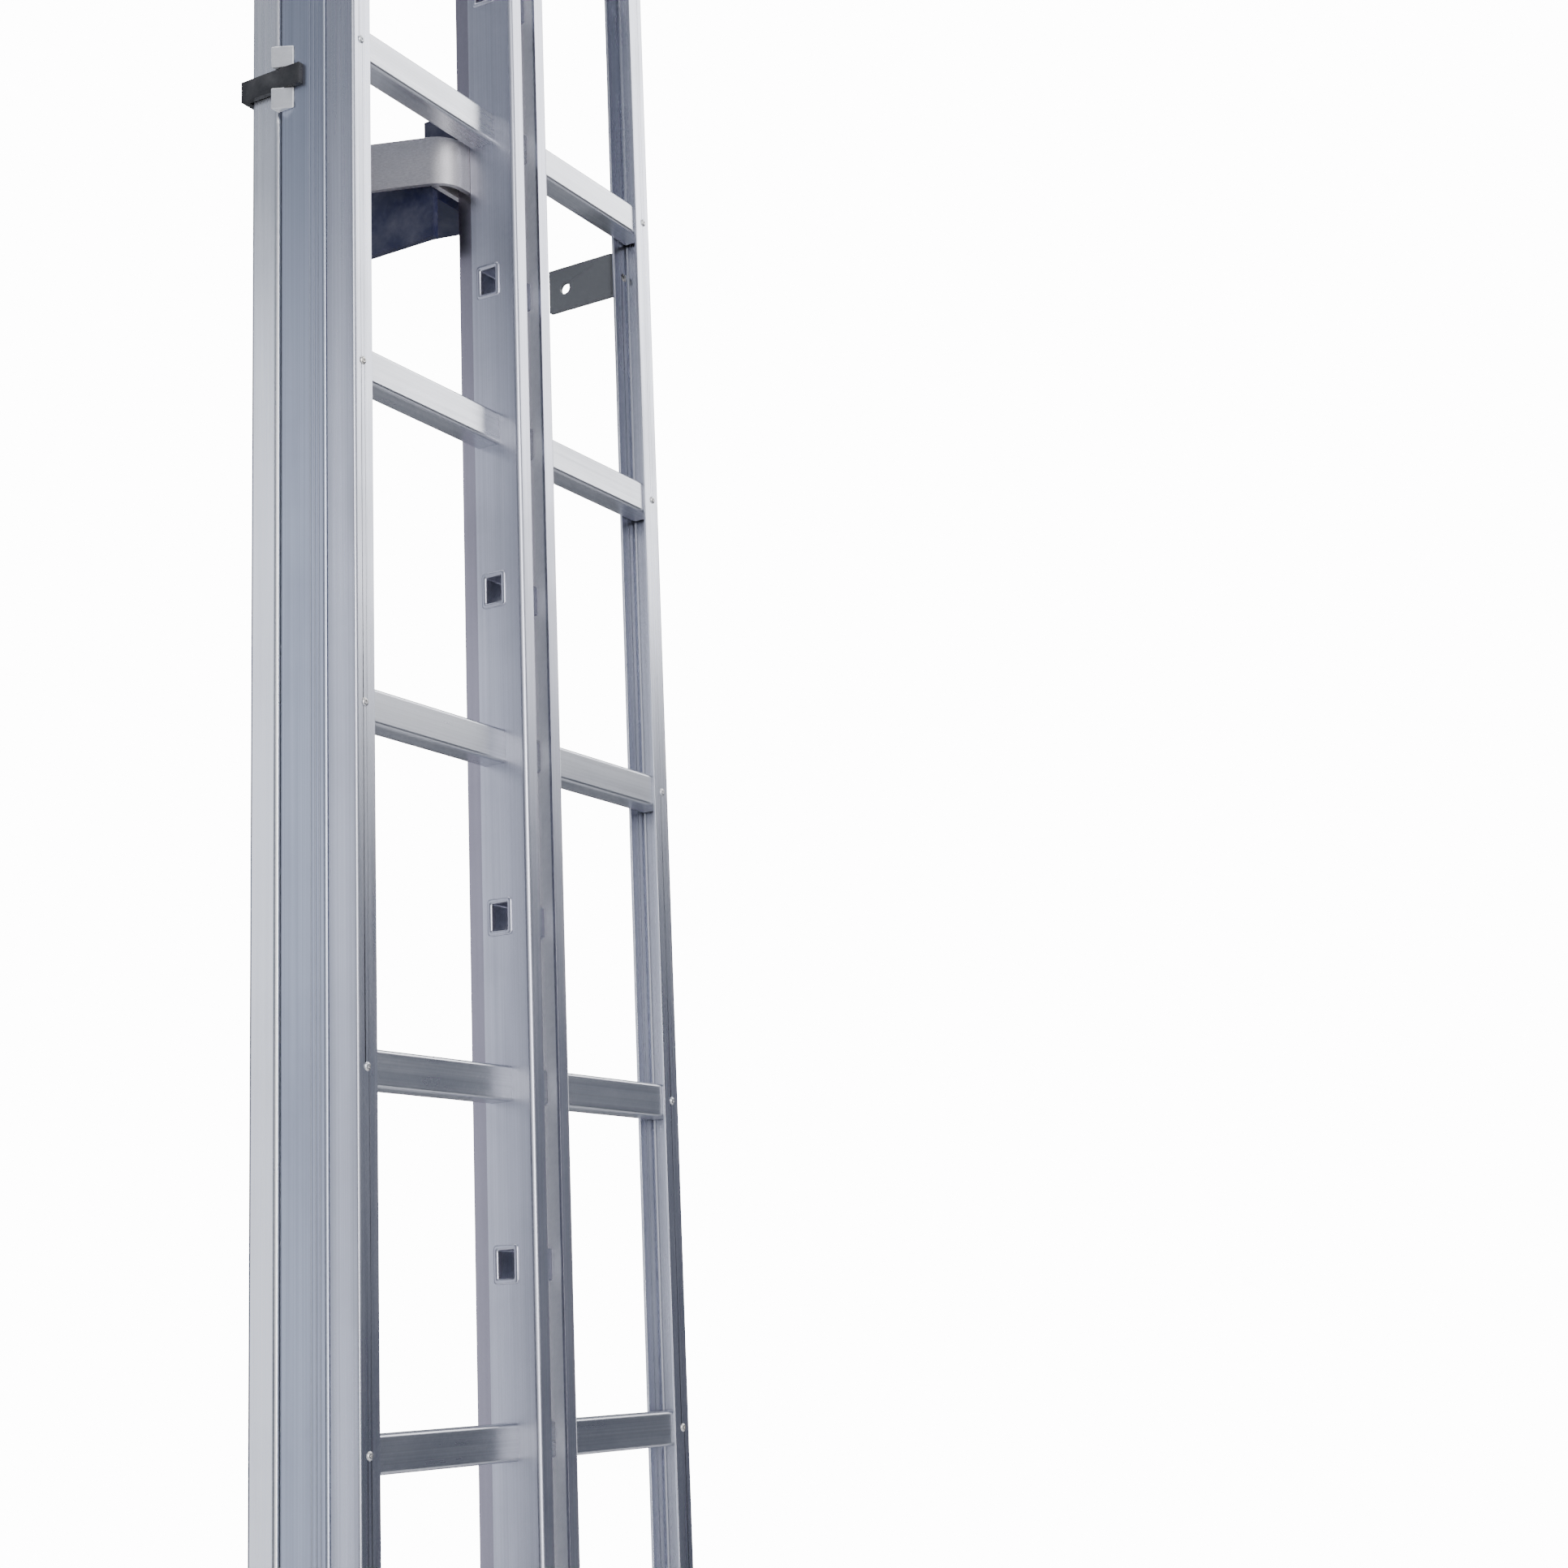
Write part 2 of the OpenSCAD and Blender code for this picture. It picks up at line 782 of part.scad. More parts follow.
// Shoe with one cheek on the stile's outer face and a tread plate under the stile
module foot() {
    cheek_x = -half_lower - 4.1;
    cheek_t = 3.8;
    difference() {
        union() {
            rod_x([cheek_x, pivot_y, pivot_z], 13, cheek_t);
            translate([cheek_x, pivot_y - 13, foot_plate_z]) cube([cheek_t, 26, pivot_z - foot_plate_z]);
            translate([cheek_x, pivot_y - foot_d / 2, foot_plate_z]) cube([34, foot_d, 5]);
        }
        rod_x([cheek_x - 5, pivot_y, pivot_z], pivot_r + fit, 20);
    }
}

// Rubber tread with cross grooves
module foot_pad() {
    difference() {
        translate([-half_lower - 5.1, pivot_y - foot_d / 2 - 1, 0]) cube([36, foot_d + 2, foot_plate_z]);
        for (y = [-20 : 10 : 20])
            translate([-half_lower - 10, pivot_y + y - 1.5, -1]) cube([50, 3, 4]);
    }
}

module foot_left() {
    color("silver") foot();
}

module foot_right() {
    color("silver") mirror([1, 0, 0]) foot();
}

module foot_pad_left() {
    color("black") foot_pad();
}

module foot_pad_right() {
    color("black") mirror([1, 0, 0]) foot_pad();
}

// ---------- grab pole ----------

module grab_pole() {
    color("whitesmoke")
        translate([pole_x, pole_y, pole_bottom])
            linear_extrude(pole_l)
                difference() {
                    round_rect(pole_side, pole_side, 5);
                    round_rect(pole_side - 4, pole_side - 4, 3);
                }
}

module pole_cap() {
    color("dimgray")
        translate([pole_x, pole_y, pole_bottom + pole_l]) {
            linear_extrude(4) round_rect(pole_side, pole_side, 5);
            translate([0, 0, -15]) linear_extrude(15) round_rect(pole_side - 5, pole_side - 5, 2.5);
        }
}

// Lobed knob on a threaded stud that clamps the pole through its lowest guide
module clamp_knob() {
    guide_face = pole_x - pole_side / 2 - guide_clear - guide_wall;
    stand = 7;
    knob_h = 16;
    knob_r = 15;
    lobe_r = 6;
    lobes = 5;
    stud_in = 5;
    color("black")
        translate([guide_face - stand, pole_y, clamp_level]) rotate([0, -90, 0]) {
            translate([0, 0, -guide_wall - stand])
                cylinder(r = bolt_r, h = guide_wall + stand + stud_in, $fn = round_fn);
            cylinder(r = knob_r, h = knob_h, $fn = round_fn);
            for (i = [0 : lobes - 1])
                rotate(i * 360 / lobes) translate([knob_r, 0, 0])
                    cylinder(r = lobe_r, h = knob_h, $fn = round_fn);
        }
}

// ---------- nodes ----------

placed() left_stile();
placed() right_stile();
placed() rail_left();
placed() rail_right();
for (n = upper_rungs)
    placed() upper_rung(n);
placed() rail_ties();
placed() rung_rivets();
placed() guide_post();
placed() post_bolts();
placed() pole_guides();
placed() guide_blocks();
placed() pole_stop();
placed() lug_left();
placed() lug_right();
placed() wall_arm_left();
placed() wall_arm_right();
placed() arm_bolts();
placed() rail_bracket();
placed() rail_spacer();
placed() rail_bolts();
placed() left_strap(strap_levels[1]);  // strap_upper_left
placed() right_strap(strap_levels[1]);  // strap_upper_right
placed() left_strap(strap_levels[0]);  // strap_lower_left
placed() right_strap(strap_levels[0]);  // strap_lower_right
placed() strap_bolts();
placed() slider_pads();
placed() stile_caps();
placed() catch_bracket();
placed() catch_pin();
placed() catch_hook();
placed() lower_left_stile();
placed() lower_right_stile();
for (n = lower_rungs)
    placed() lower_rung(n);
placed() lower_rivets();
placed() lower_caps();
placed() lower_stops();
placed() foot_pins();
placed() foot_left();
placed() foot_right();
placed() foot_pad_left();
placed() foot_pad_right();
placed() grab_pole();
placed() pole_cap();
placed() clamp_knob();
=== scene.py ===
import json
import math

import bmesh
import bpy
from mathutils import Matrix, Vector


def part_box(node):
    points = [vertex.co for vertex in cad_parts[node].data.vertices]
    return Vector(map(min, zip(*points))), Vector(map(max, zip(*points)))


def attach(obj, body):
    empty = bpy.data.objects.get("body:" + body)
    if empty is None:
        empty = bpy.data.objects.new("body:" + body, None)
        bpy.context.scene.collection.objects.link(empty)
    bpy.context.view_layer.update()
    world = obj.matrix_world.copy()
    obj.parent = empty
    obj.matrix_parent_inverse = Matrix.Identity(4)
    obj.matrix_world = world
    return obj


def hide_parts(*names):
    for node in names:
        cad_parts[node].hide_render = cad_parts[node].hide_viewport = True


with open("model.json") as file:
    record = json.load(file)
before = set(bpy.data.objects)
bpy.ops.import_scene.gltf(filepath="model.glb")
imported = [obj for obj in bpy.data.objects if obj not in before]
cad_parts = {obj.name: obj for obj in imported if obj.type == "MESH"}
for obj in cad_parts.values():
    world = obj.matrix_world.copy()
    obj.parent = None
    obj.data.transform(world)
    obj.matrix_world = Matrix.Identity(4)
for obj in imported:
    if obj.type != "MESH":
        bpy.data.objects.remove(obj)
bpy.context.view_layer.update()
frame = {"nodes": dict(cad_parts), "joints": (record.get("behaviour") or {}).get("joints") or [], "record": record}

NODES = frame["nodes"]
MM = 0.001

# ---------- places, read from the frame ----------

RUNG_LO, RUNG_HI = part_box("rung_06")
RUNG_FRONT = RUNG_LO.y
EYE_RUNG_Z = (RUNG_LO.z + RUNG_HI.z) / 2
# Depth at which the rail's rear strip starts, behind the rungs' fronts; behind it the rail's colour carries
# painted shade
RAIL_STEP = 0.026
# Span across X round the inner face of the rail's right-hand wall, drawn matt and painted pale as painted
# light for the light bounced into the rail's slot. The test goes by place alone, so it also takes in the
# outer face of that half's rear strip and thin strips of the faces that cross it.
RAIL_INNER_WALL = (0.0228, 0.0240)

# ---------- camera and light ----------

EYE_LEFT = 1.6535
EYE_BACK = 1.1964
EYE_RISE = 0.0626
LENS_MM = 57.175
SENSOR_MM = 36.0
CAMERA_RIGHT = Vector((0.50480, -0.86214, -0.04338))
CAMERA_UP = Vector((-0.16932, -0.14817, 0.97436))
BACKDROP_STRENGTH = 14.0
SURROUND_STRENGTH = 1.35
LAMP_RISE = 0.5
FLOOR_HALF = 4.0


def aim(right, up, place):
    """A camera's or lamp's matrix from its right and up directions."""
    right = right.normalized()
    back = right.cross(up).normalized()
    up = back.cross(right)
    m = Matrix((right, up, back)).transposed().to_4x4()
    m.translation = place
    return m


def make_camera():
    data = bpy.data.cameras.new("camera")
    data.lens = LENS_MM
    data.sensor_width = SENSOR_MM
    data.clip_start = 0.05
    data.clip_end = 100.0
    camera = bpy.data.objects.new("camera", data)
    camera.matrix_world = aim(
        CAMERA_RIGHT, CAMERA_UP, Vector((-EYE_LEFT, RUNG_FRONT - EYE_BACK, EYE_RUNG_Z + EYE_RISE))
    )
    bpy.context.scene.collection.objects.link(camera)
    bpy.context.scene.camera = camera


def softbox(name, place, target, size, watts, tint=(1.0, 1.0, 1.0)):
    """A rectangular lamp at place that faces target."""
    data = bpy.data.lights.new(name, "AREA")
    data.shape = "RECTANGLE"
    data.size, data.size_y = size
    data.energy = watts
    data.color = tint
    lamp = bpy.data.objects.new(name, data)
    ray = Vector(target) - Vector(place)
    lamp.matrix_world = Matrix.Translation(place) @ ray.to_track_quat("-Z", "Y").to_matrix().to_4x4()
    bpy.context.scene.collection.objects.link(lamp)


def make_world():
    """White backdrop where the camera sees it, and a dim grey surround, darker below, for everything else."""
    world = bpy.data.worlds.new("studio")
    bpy.context.scene.world = world
    world.use_nodes = True
    tree = world.node_tree
    tree.nodes.clear()
    new = tree.nodes.new
    link = tree.links.new
    out = new("ShaderNodeOutputWorld")
    mix = new("ShaderNodeMixShader")
    path = new("ShaderNodeLightPath")
    seen = new("ShaderNodeBackground")
    surround = new("ShaderNodeBackground")
    coordinates = new("ShaderNodeTexCoord")
    parts = new("ShaderNodeSeparateXYZ")
    ramp = new("ShaderNodeValToRGB")
    spread = new("ShaderNodeMapRange")
    seen.inputs["Color"].default_value = (1.0, 1.0, 1.0, 1.0)
    seen.inputs["Strength"].default_value = BACKDROP_STRENGTH
    surround.inputs["Strength"].default_value = SURROUND_STRENGTH
    spread.inputs["From Min"].default_value = -1.0
    spread.inputs["From Max"].default_value = 1.0
    ramp.color_ramp.elements[0].position = 0.30
    ramp.color_ramp.elements[0].color = (0.045, 0.05, 0.06, 1.0)
    ramp.color_ramp.elements[1].position = 0.80
    ramp.color_ramp.elements[1].color = (0.26, 0.28, 0.33, 1.0)
    horizon = ramp.color_ramp.elements.new(0.52)
    horizon.color = (0.10, 0.11, 0.14, 1.0)
    link(coordinates.outputs["Generated"], parts.inputs["Vector"])
    link(parts.outputs["Z"], spread.inputs["Value"])
    link(spread.outputs["Result"], ramp.inputs["Fac"])
    link(ramp.outputs["Color"], surround.inputs["Color"])
    link(path.outputs["Is Camera Ray"], mix.inputs["Fac"])
    link(surround.outputs["Background"], mix.inputs[1])
    link(seen.outputs["Background"], mix.inputs[2])
    link(mix.outputs["Shader"], out.inputs["Surface"])


def make_lights():
    """Soft lamps placed from a point on the rungs' fronts, above the camera's level."""
    middle = Vector((0.0, RUNG_FRONT, EYE_RUNG_Z + LAMP_RISE))
    softbox("right_front", middle + Vector((3.6, -2.2, 2.95)), middle, (2.4, 3.2), 106)
    softbox("camera_side", middle + Vector((-1.9, -4.2, 0.6)), middle, (1.8, 3.6), 175)
    softbox("camera_fill", middle + Vector((-3.6, -2.6, 0.4)), middle, (2.4, 3.6), 33)
    softbox("front_key", middle + Vector((-0.3, -4.3, 2.2)), middle, (1.6, 2.6), 21)
    softbox("left_back", middle + Vector((-3.4, 2.6, 0.2)), middle, (3.1, 3.9), 44, (0.87, 0.90, 1.0))
    softbox("overhead", middle + Vector((0.2, 0.4, 3.6)), middle, (3.0, 3.0), 120)


def make_floor():
    mesh = bpy.data.meshes.new("floor")
    corners = [(x * FLOOR_HALF, y * FLOOR_HALF, 0) for x, y in ((-1, -1), (1, -1), (1, 1), (-1, 1))]
    mesh.from_pydata(corners, [], [(0, 1, 2, 3)])
    floor = bpy.data.objects.new("floor", mesh)
    bpy.context.scene.collection.objects.link(floor)
    material = bpy.data.materials.new("pale_floor")
    material.use_nodes = True
    shader = material.node_tree.nodes["Principled BSDF"]
    shader.inputs["Base Color"].default_value = (0.90, 0.90, 0.905, 1.0)
    shader.inputs["Roughness"].default_value = 0.7
    mesh.materials.append(material)


# ---------- materials ----------


class Graph:
    """Short calls for building one material's nodes."""

    def __init__(self, name):
        self.material = bpy.data.materials.new(name)
        self.material.use_nodes = True
        self.tree = self.material.node_tree
        self.shader = self.tree.nodes["Principled BSDF"]
        self.place = self.add("ShaderNodeTexCoord").outputs["Object"]

    def add(self, kind):
        return self.tree.nodes.new(kind)

    def link(self, a, b):
        self.tree.links.new(a, b)

    def noise(self, stretch, detail=4.0, roughness=0.55, offset=(0, 0, 0)):
        """Noise over the object's own coordinates, stretched along the axes."""
        mapping = self.add("ShaderNodeMapping")
        mapping.inputs["Scale"].default_value = stretch
        mapping.inputs["Location"].default_value = offset
        texture = self.add("ShaderNodeTexNoise")
        texture.inputs["Scale"].default_value = 1.0
        texture.inputs["Detail"].default_value = detail
        texture.inputs["Roughness"].default_value = roughness
        self.link(self.place, mapping.inputs["Vector"])
        self.link(mapping.outputs["Vector"], texture.inputs["Vector"])
        return texture.outputs["Fac"]

    def along(self, axis):
        """The object's own coordinate on one axis."""
        parts = self.add("ShaderNodeSeparateXYZ")
        self.link(self.place, parts.inputs["Vector"])
        return parts.outputs[axis]

    def span(self, value, low, high, to_low, to_high):
        """Maps a value from one range to another, clamped."""
        node = self.add("ShaderNodeMapRange")
        node.inputs["From Min"].default_value = low
        node.inputs["From Max"].default_value = high
        node.inputs["To Min"].default_value = to_low
        node.inputs["To Max"].default_value = to_high
        self.link(value, node.inputs["Value"])
        return node.outputs["Result"]

    def maths(self, operation, a, b):
        node = self.add("ShaderNodeMath")
        node.operation = operation
        for socket, value in ((node.inputs[0], a), (node.inputs[1], b)):
            if isinstance(value, (int, float)):
                socket.default_value = value
            else:
                self.link(value, socket)
        return node.outputs["Value"]

    def mix(self, factor, a, b):
        """Mixes two colours, each a tuple or a socket."""
        node = self.add("ShaderNodeMix")
        node.data_type = "RGBA"
        self.link(factor, node.inputs["Factor"])
        for socket, value in ((node.inputs["A"], a), (node.inputs["B"], b)):
            if isinstance(value, tuple):
                socket.default_value = (*value, 1.0)
            else:
                self.link(value, socket)
        return node.outputs["Result"]

    def bump(self, height, strength, distance):
        node = self.add("ShaderNodeBump")
        node.inputs["Strength"].default_value = strength
        node.inputs["Distance"].default_value = distance
        self.link(height, node.inputs["Height"])
        self.link(node.outputs["Normal"], self.shader.inputs["Normal"])


# For each direction of drawing: the stretch of the die lines, of the broad bands and of the scratches
GRAIN = {
    "x": ((1.5, 900.0, 900.0), (6.0, 260.0, 260.0), (2.0, 1400.0, 1400.0)),
    "y": ((900.0, 1.5, 900.0), (260.0, 6.0, 260.0), (1400.0, 2.0, 1400.0)),
    "z": ((900.0, 900.0, 1.5), (260.0, 260.0, 6.0), (1400.0, 1400.0, 2.0)),
}
# Darker, browner tint: painted shade on the rail's rear strip
PAINTED_SHADE_TINT = (0.62, 0.58, 0.60)
# Pale colour: painted light on the rail's matt inner wall
PAINTED_LIGHT_MATT_COLOUR = (0.92, 0.93, 0.99)


def aluminium(name, colour, rough, axis, contrast=0.07, wear=0.35, shade_painted_behind=None, matt_painted_light_wall=None):
    """Extruded aluminium: die lines along one axis, cloudy oxide, scuffs and fine scratches.

    Behind a given depth the colour is darkened and browned as painted shade, and across a given span
    of X it is drawn matt and painted pale as painted light.
    """
    g = Graph(name)
    fine, coarse, scratch = GRAIN[axis]
    lines = g.noise(fine, detail=3.0)
    bands = g.noise(coarse, detail=2.0, offset=(3.1, 1.7, 0.4))
    clouds = g.noise((5.0, 5.0, 5.0), detail=5.0, roughness=0.6, offset=(0.3, 0.8, 1.9))
    scuffs = g.noise((34.0, 34.0, 34.0), detail=6.0, roughness=0.7, offset=(7.0, 2.0, 5.0))
    nicks = g.noise(scratch, detail=2.0, roughness=0.4, offset=(9.0, 4.0, 6.0))
    dark = tuple(c * (1.0 - contrast) for c in colour)
    light = tuple(min(1.0, c * (1.0 + contrast)) for c in colour)
    dull = tuple(c * 0.84 for c in colour)
    base = g.mix(g.span(lines, 0.36, 0.64, 0.0, 1.0), dark, light)
    base = g.mix(g.span(clouds, 0.50, 0.72, 0.0, 0.45), base, dull)
    worn = g.span(scuffs, 0.62, 0.80, 0.0, wear)
    base = g.mix(worn, base, tuple(c * 0.86 for c in colour))
    bright = g.span(nicks, 0.71, 0.80, 0.0, 0.30)
    base = g.mix(bright, base, tuple(min(1.0, c * 1.18) for c in colour))
    # Painted shade: behind the given depth the colour is darkened and browned, for the shade and dark reflections
    # on the rail's rear strip
    if shade_painted_behind is not None:
        behind = g.maths("GREATER_THAN", g.along("Y"), shade_painted_behind)
        base = g.mix(behind, base, tuple(c * k for c, k in zip(colour, PAINTED_SHADE_TINT)))
    # Painted light: across the given span the surface is matt and painted pale, for light bounced into the rail's
    # slot
    if matt_painted_light_wall is not None:
        across = g.along("X")
        past = g.maths("GREATER_THAN", across, matt_painted_light_wall[0])
        short = g.maths("LESS_THAN", across, matt_painted_light_wall[1])
        inside = g.maths("MULTIPLY", past, short)
        base = g.mix(inside, base, PAINTED_LIGHT_MATT_COLOUR)
        g.link(g.maths("SUBTRACT", 1.0, inside), g.shader.inputs["Metallic"])
    g.link(base, g.shader.inputs["Base Color"])
    roughness = g.maths("ADD", g.span(bands, 0.35, 0.65, -0.025, 0.025), rough)
    roughness = g.maths("ADD", roughness, g.span(clouds, 0.40, 0.70, -0.03, 0.05))
    roughness = g.maths("ADD", roughness, g.span(worn, 0.0, 1.0, 0.0, 0.05))
    g.link(roughness, g.shader.inputs["Roughness"])
    g.shader.inputs["Metallic"].default_value = 1.0
    height = g.maths("ADD", g.maths("MULTIPLY", lines, 0.6), g.maths("MULTIPLY", bands, 0.8))
    height = g.maths("SUBTRACT", height, g.maths("MULTIPLY", bright, 0.6))
    g.bump(height, 0.06, 0.0002)
    return g.material


def plated(name, colour, rough):
    """Zinc-plated steel: faint yellow-blue cloud over a fine grain."""
    g = Graph(name)
    clouds = g.noise((60.0, 60.0, 60.0), detail=4.0)
    grain = g.noise((900.0, 900.0, 900.0), detail=2.0)
    warm = tuple(c * k for c, k in zip(colour, (1.06, 1.0, 0.88)))
    g.link(g.mix(g.span(clouds, 0.35, 0.65, 0.0, 1.0), colour, warm), g.shader.inputs["Base Color"])
    g.link(g.span(grain, 0.3, 0.7, rough - 0.07, rough + 0.09), g.shader.inputs["Roughness"])
    g.shader.inputs["Metallic"].default_value = 1.0
    g.bump(grain, 0.15, 0.0001)
    return g.material


def plastic(name, colour, rough):
    """Moulded plastic: spark-eroded grain, with paler scuffs."""
    g = Graph(name)
    grain = g.noise((1400.0,) * 3, detail=2.0)
    clouds = g.noise((22.0,) * 3, detail=5.0, roughness=0.65)
    pale = tuple(c + 0.10 * (0.5 - c) for c in colour)
    g.link(g.mix(g.span(clouds, 0.46, 0.70, 0.0, 1.0), colour, pale), g.shader.inputs["Base Color"])
    g.link(g.span(clouds, 0.3, 0.7, rough - 0.08, rough + 0.10), g.shader.inputs["Roughness"])
    g.bump(grain, 0.25, 0.00012)
    return g.material


def rubber(name, colour):
    """Rubber: fine pitting and a pale bloom of dust."""
    g = Graph(name)
    pits = g.noise((700.0,) * 3, detail=3.0, roughness=0.7)
    dust = g.noise((30.0,) * 3, detail=6.0, roughness=0.7)
    grey = tuple(c + 0.06 for c in colour)
    g.link(g.mix(g.span(dust, 0.45, 0.70, 0.0, 1.0), colour, grey), g.shader.inputs["Base Color"])
    g.link(g.span(pits, 0.3, 0.7, 0.72, 0.90), g.shader.inputs["Roughness"])
    g.bump(pits, 0.4, 0.0002)
    return g.material


def paint(name, colour, rough):
    """Sprayed paint: slight orange peel, chips of darker metal where it has been knocked."""
    g = Graph(name)
    peel = g.noise((420.0,) * 3, detail=2.0)
    chips = g.noise((90.0,) * 3, detail=6.0, roughness=0.75)
    chipped = g.span(chips, 0.70, 0.72, 0.0, 1.0)
    g.link(g.mix(chipped, colour, (0.33, 0.33, 0.35)), g.shader.inputs["Base Color"])
    g.link(g.span(chips, 0.40, 0.70, rough - 0.05, rough + 0.12), g.shader.inputs["Roughness"])
    g.bump(g.maths("SUBTRACT", peel, g.maths("MULTIPLY", chipped, 0.7)), 0.2, 0.00015)
    return g.material


def make_materials():
    return {
        "stile_aluminium": aluminium("stile_aluminium", (0.58, 0.595, 0.66), 0.30, "z"),
        # The rail gets painted shade on its rear strip and painted light on its right-hand inner wall
        "rail_aluminium": aluminium("rail_aluminium", (0.57, 0.578, 0.65), 0.34, "z", 0.05,
                                    shade_painted_behind=RUNG_FRONT + RAIL_STEP, matt_painted_light_wall=RAIL_INNER_WALL),
        "rung_aluminium": aluminium("rung_aluminium", (0.61, 0.62, 0.66), 0.32, "x", 0.05, 0.2),
        "rivet_metal": plated("rivet_metal", (0.62, 0.63, 0.66), 0.34),
        "post_aluminium": aluminium("post_aluminium", (0.43, 0.465, 0.55), 0.34, "z", 0.08),
        "pole_aluminium": aluminium("pole_aluminium", (0.95, 0.96, 0.99), 0.26, "z", 0.03, 0.15),
        "block_aluminium": aluminium("block_aluminium", (0.93, 0.93, 0.94), 0.50, "y", 0.03, 0.2),
        "bar_metal": aluminium("bar_metal", (0.54, 0.525, 0.545), 0.50, "y", 0.08, 0.5),
        "lug_metal": paint("lug_metal", (0.10, 0.105, 0.115), 0.48),
        "zinc_fastener": plated("zinc_fastener", (0.66, 0.67, 0.69), 0.30),
        "navy_plastic": plastic("navy_plastic", (0.0022, 0.0045, 0.036), 0.42),
        "black_plastic": plastic("black_plastic", (0.016, 0.016, 0.018), 0.45),
        "catch_paint": paint("catch_paint", (0.52, 0.035, 0.03), 0.35),
        "foot_aluminium": aluminium("foot_aluminium", (0.70, 0.71, 0.74), 0.38, "y", 0.08, 0.9),
        "black_rubber": rubber("black_rubber", (0.018, 0.018, 0.019)),
    }


# ---------- finishing the CAD nodes ----------

MERGE = 0.00001
EDGE_ANGLE = 38
# Width in mm by the start of a node's name; the first that matches is used
EDGE_BEVEL = {
    "rung_": 0.25, "lower_rung_": 0.25, "rail_": 0.5, "left_stile": 0.5, "right_stile": 0.5,
    "lower_left": 0.5, "lower_right": 0.5, "guide_post": 0.3, "grab_pole": 0.4, "lug_": 0.7,
    "wall_arm": 0.8, "strap_": 0.7, "guide_blocks": 0.9, "pole_guides": 0.8,
    "slider_pads": 0.8, "catch_": 0.7, "foot_": 0.8, "lower_stops": 1.2, "pole_stop": 0.6,
    "stile_caps": 0.8, "lower_caps": 0.8, "pole_cap": 1.2, "clamp_knob": 1.5,
}


def soften(node, width_mm):
    """Breaks a CAD node's sharp edges, so that they catch the light."""
    o = NODES[node]
    weld = o.modifiers.new("weld", "WELD")
    weld.merge_threshold = MERGE
    bevel = o.modifiers.new("edge", "BEVEL")
    bevel.width = width_mm * MM
    bevel.segments = 2
    bevel.limit_method = "ANGLE"
    bevel.angle_limit = math.radians(EDGE_ANGLE)
    bevel.use_clamp_overlap = True
    normals = o.modifiers.new("normals", "WEIGHTED_NORMAL")
    normals.keep_sharp = False


def dress_nodes(materials):
    """Gives every CAD node its slot's material and smooth shading, and softens those in EDGE_BEVEL."""
    for name, o in NODES.items():
        o.data.materials.clear()
        o.data.materials.append(materials[slot_of(name)])
        o.data.shade_smooth()
        width = [w for key, w in EDGE_BEVEL.items() if name.startswith(key)]
        if width:
            soften(name, width[0])


# ---------- detail pieces ----------


# Cells to a metre: vertices in the same 0.05 mm cell count as one
ISLAND_GRID = 20000


def islands(node):
    """The box of each separate solid in a CAD node, as (lowest corner, highest corner) pairs."""
    mesh = NODES[node].data
    keys = {}
    parent = []
    index = []
    for v in mesh.vertices:
        key = tuple(round(c * ISLAND_GRID) for c in v.co)
        if key not in keys:
            keys[key] = len(parent)
            parent.append(len(parent))
        index.append(keys[key])

    def root(i):
        while parent[i] != i:
            parent[i] = parent[parent[i]]
            i = parent[i]
        return i

    for edge in mesh.edges:
        a, b = (root(index[i]) for i in edge.vertices)
        parent[a] = b
    groups = {}
    for v, i in zip(mesh.vertices, index):
        groups.setdefault(root(i), []).append(v.co)
    boxes = []
    for points in groups.values():
        boxes.append(tuple(Vector(pick(p[k] for p in points) for k in range(3)) for pick in (min, max)))
    return sorted(boxes, key=lambda b: tuple(round(c, 4) for c in (*b[0], *b[1])))


def body_of(node):
    for body, members in frame["record"]["behaviour"]["bodies"].items():
        if node in members:
            return body
    raise ValueError(node)


def slot_of(node):
    for part in frame["record"]["subparts"]:
        if part["node"] == node:
            return part["material_slot"]
    raise ValueError(node)


class Shape:
    """Collects vertices and faces for one mesh piece."""

    def __init__(self):
        self.points = []
        self.faces = []

    def loops(self, rings, matrix, cap_end=False):
        """Joins closed rings of equal length with quads."""
        base = len(self.points)
        count = len(rings[0])
        for ring in rings:
            self.points.extend(tuple(matrix @ Vector(p)) for p in ring)
        for r in range(len(rings) - 1):
            for i in range(count):
                j = (i + 1) % count
                a = base + r * count
                b = a + count
                self.faces.append((a + i, a + j, b + j, b + i))
        if cap_end:
            last = base + (len(rings) - 1) * count
            self.faces.append(tuple(last + i for i in range(count)))

    def lathe(self, profile, matrix, count=24):
        """Turns (radius, height) points round the matrix's Z axis; radius 0 closes an end."""
        rings = []
        for radius, height in profile:
            rings.append([
                (radius * math.cos(math.tau * i / count), radius * math.sin(math.tau * i / count), height)
                for i in range(count)
            ])
        self.loops(rings, matrix)

    def finish(self, name, node, smooth_angle=35):
        """Makes the object, gives it the node's finish, and puts it in the node's place."""
        mesh = bpy.data.meshes.new(name)
        mesh.from_pydata(self.points, [], self.faces)
        work = bmesh.new()
        work.from_mesh(mesh)
        bmesh.ops.remove_doubles(work, verts=work.verts, dist=MERGE)
        bmesh.ops.dissolve_degenerate(work, edges=work.edges, dist=MERGE)
        bmesh.ops.recalc_face_normals(work, faces=work.faces)
        for face in work.faces:
            face.smooth = True
        for edge in work.edges:
            if len(edge.link_faces) == 2 and edge.calc_face_angle(0.0) > math.radians(smooth_angle):
                edge.smooth = False
        work.to_mesh(mesh)
        work.free()
        piece = bpy.data.objects.new(name, mesh)
        bpy.context.scene.collection.objects.link(piece)
        mesh.materials.append(MATERIALS[slot_of(node)])
        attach(piece, body_of(node))
        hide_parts(node)


